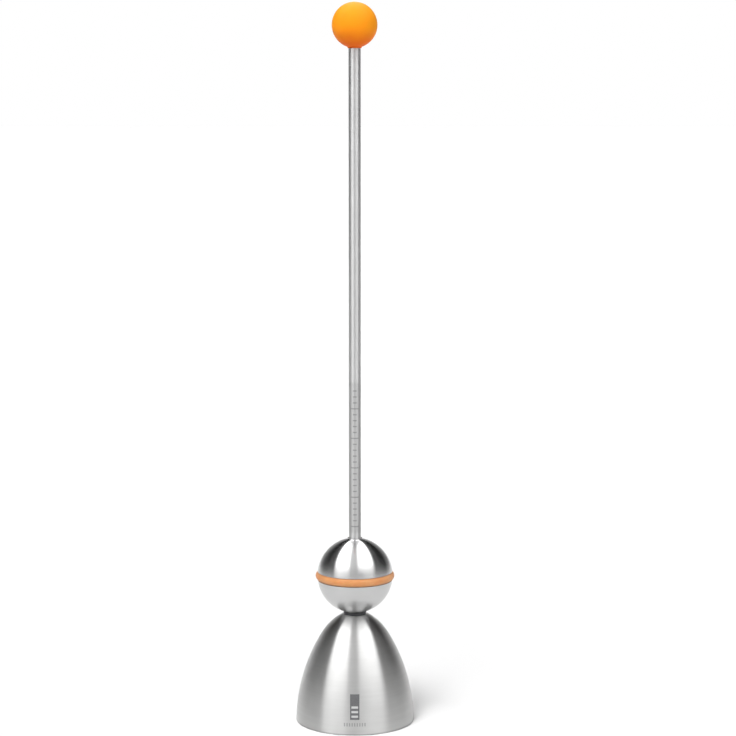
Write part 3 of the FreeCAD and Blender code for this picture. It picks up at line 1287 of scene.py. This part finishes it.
FOOT = Fan(
    left_flag=((-1.0, 0.45), (-0.97, 0.3), (-0.93, 0.22), (-0.87, 0.18), (-0.79, 0.19),
               (-0.7, 0.3), (-0.6, 0.36)),
    left_box=((-0.49, 0.58), (-0.42, 1.0)),
    middle=((-0.3, 0.74), (-0.2, 0.62), (-0.1, 0.5), (0.18, 0.3), (0.27, 0.46)),
    right_box=((0.4, 0.7), (0.5, 0.64), (0.59, 0.46)),
    right_flag=((0.7, 0.34), (0.8, 0.16), (0.9, 0.07), (0.97, 0.2), (1.0, 0.45)))
WALL = Fan(
    left_flag=(*LEFT_RIM, (-0.79, 0.01), (-0.7, 0.08), (-0.585, 0.12)),
    left_box=((-0.51, 1.4), (-0.42, 1.55), (-0.3, 1.25), (-0.2, 0.97)),
    middle=((-0.12, 0.74), (0.17, 0.5), (0.24, 0.8)),
    right_box=((0.3, 0.92), (0.47, 0.98)),
    right_flag=((0.56, 0.14), (0.7, 0.08), (0.78, 0.01), (0.88, 0.015), *RIGHT_RIM))
SHOULDER = Fan(
    left_flag=(*HIGH_LEFT, (-0.6, 0.11)),
    left_box=((-0.55, 3.2), (-0.19, 3.2)),
    middle=((-0.12, 1.0), (0.05, 0.92)),
    right_box=((0.13, 2.7), (0.52, 3.2)),
    right_flag=((0.58, 0.13), *HIGH_RIGHT))
ROOF = Fan(
    left_flag=(*HIGH_LEFT, (-0.61, 0.12)),
    left_box=((-0.56, 3.2), (-0.2, 3.1)),
    middle=((0.0, 2.2),),
    right_box=((0.2, 3.1), (0.535, 3.2)),
    right_flag=((0.59, 0.13), *HIGH_RIGHT))


@dataclass(frozen=True)
class Tent:
    """A white tent with black side flags, which only polished surfaces see.

    Its stripes fan out from a point at the back of the horizon, so that a turned surface in
    front of the camera shows each stripe at one bearing, whatever the surface's slope is.
    Each fan has its level, as a share of the tent's reach. The roof takes over towards the
    back.
    """

    reach: float = 1.6
    fan_distance: float = 0.97
    least_ahead: float = 1.0 * MM
    peak: float = 3.2
    strength: float = 3.5
    fans: tuple[tuple[float, Fan], ...] = ((0.0, FOOT), (0.42, WALL), (0.72, SHOULDER))
    roof: Fan = ROOF
    roof_start: float = 0.05
    roof_end: float = 0.6
    segments: int = 96

    def build(self, shop: Workshop) -> None:
        """Makes the tent.

        Args:
            shop: the recipes.
        """
        drawn = Profile(self.reach, 0.0).arc((0.0, self.reach), (0.0, 0.0))
        tent = shop.turn("tent", drawn, self.segments, self.glow())
        tent.visible_camera = False
        tent.visible_diffuse = False
        tent.visible_shadow = False

    def glow(self) -> bpy.types.Material:
        """Makes the tent's light.

        Returns:
            The material.
        """
        paint = Paint("studio tent")
        x, y, height = paint.split(paint.place)
        ahead = paint.sum("MAXIMUM", self.fan_distance * self.reach - y, self.least_ahead)
        bearing = x / paint.distance(x, ahead) * 0.5 + 0.5
        (below, lowest), *higher = self.fans
        colour = self.stripes(paint, bearing, lowest)
        for level, fan in higher:
            rise = paint.ease(height, below * self.reach, level * self.reach)
            colour = paint.blend(rise, colour, self.stripes(paint, bearing, fan))
            below = level
        back = paint.ease(y, self.roof_start * self.reach, self.roof_end * self.reach)
        colour = paint.blend(back, colour, self.stripes(paint, bearing, self.roof))
        return paint.end(paint.node("ShaderNodeEmission", sockets={
            "Color": colour, "Strength": self.strength}))

    def stripes(self, paint: Paint, bearing: Term, fan: Fan) -> Term:
        """Lays one fan along a bearing from 0 to 1, as shares of the peak."""
        stops = [((sine + 1) / 2, (light / self.peak,) * 3) for sine, light in fan.stops()]
        return paint.out(paint.node("ShaderNodeValToRGB", {"stops": stops}, {0: bearing}))


@dataclass(frozen=True)
class Lamp:
    """A soft lamp far away, which polished surfaces do not see."""

    name: str
    strength: float
    spread: float
    place: Place

    def hang(self) -> None:
        """Hangs the lamp where it shines from its place towards the object."""
        data = bpy.data.lights.new(self.name, "SUN")
        data.energy = self.strength
        data.angle = self.spread
        lamp = put(self.name, data)
        lamp.rotation_euler = (-Vector(self.place)).to_track_quat("-Z", "Y").to_euler()
        lamp.visible_glossy = False


@dataclass
class Studio:
    """The white table, the tent, the lamps and the camera."""

    table_half: float = 12.0
    table_colour: Colour = (0.92, 0.92, 0.92)
    room_colour: Colour = (1.0, 1.0, 1.0)
    room_light: float = 0.33
    tent: Tent = Tent()
    lamps: tuple[Lamp, ...] = (
        Lamp("key_lamp", strength=1.6, spread=math.radians(24.0), place=(-0.28, -0.7, 1.0)),
        Lamp("high_lamp", strength=1.22, spread=math.radians(24.0), place=(-0.34, -0.36, 1.0)),
        Lamp("fill_lamp", strength=0.7, spread=math.radians(70.0), place=(0.6, -1.0, 0.15)))
    camera_distance: float = 720.0 * MM
    camera_height: float = 212.4 * MM
    camera_side: float = 4.4 * MM
    camera_pitch: float = math.radians(7.275)
    camera_lens: float = 106.33
    camera_sensor: float = 36.0

    def build(self, shop: Workshop) -> None:
        """Sets the studio up.

        Args:
            shop: the recipes.
        """
        self.tent.build(shop)
        self.lay_table(shop)
        self.set_world()
        for lamp in self.lamps:
            lamp.hang()
        self.place_camera()

    def lay_table(self, shop: Workshop) -> None:
        """Lays a white table that keeps the object's shadow.

        Args:
            shop: the recipes.
        """
        half = self.table_half
        corners = [(-half, -half, 0.0), (half, -half, 0.0), (half, half, 0.0), (-half, half, 0.0)]
        table = shop.blank("table", corners, faces=[(0, 1, 2, 3)])
        paint = Paint("white table")
        matt = paint.node("ShaderNodeBsdfDiffuse", sockets={"Color": self.table_colour})
        table.data.materials.append(paint.end(matt))

    def set_world(self) -> None:
        """Makes the room white to look at, and softer as a light."""
        world = bpy.data.worlds.new("white room")
        world.use_nodes = True
        bpy.context.scene.world = world
        sheet = NodeSheet(world.node_tree)
        sheet.tree.nodes.clear()
        strength = self.room_light + sheet.seen() * (1.0 - self.room_light)
        light = sheet.node("ShaderNodeBackground", sockets={
            "Color": self.room_colour, "Strength": strength})
        sheet.node("ShaderNodeOutputWorld", sockets={"Surface": light.outputs[0]})

    def place_camera(self) -> None:
        """Puts the camera in front of the object, a little above it."""
        data = bpy.data.cameras.new("camera")
        data.sensor_width = self.camera_sensor
        data.lens = self.camera_lens
        camera = put("camera", data)
        camera.location = (self.camera_side, -self.camera_distance, self.camera_height)
        camera.rotation_euler = (math.pi / 2 - self.camera_pitch, 0.0, 0.0)
        bpy.context.scene.camera = camera


def main() -> None:
    """Builds the studio and the egg topper's sub-assemblies, one after the other."""
    logging.basicConfig(level=logging.INFO, format="%(name)s: %(message)s")
    bpy.context.scene.view_settings.view_transform = "Standard"
    shop = Workshop()
    Studio().build(shop)
    Bell().build(shop)
    Rod().build(shop)
    WeightBall().build(shop)
    Knob().build(shop)


if __name__ == "__main__":
    main()
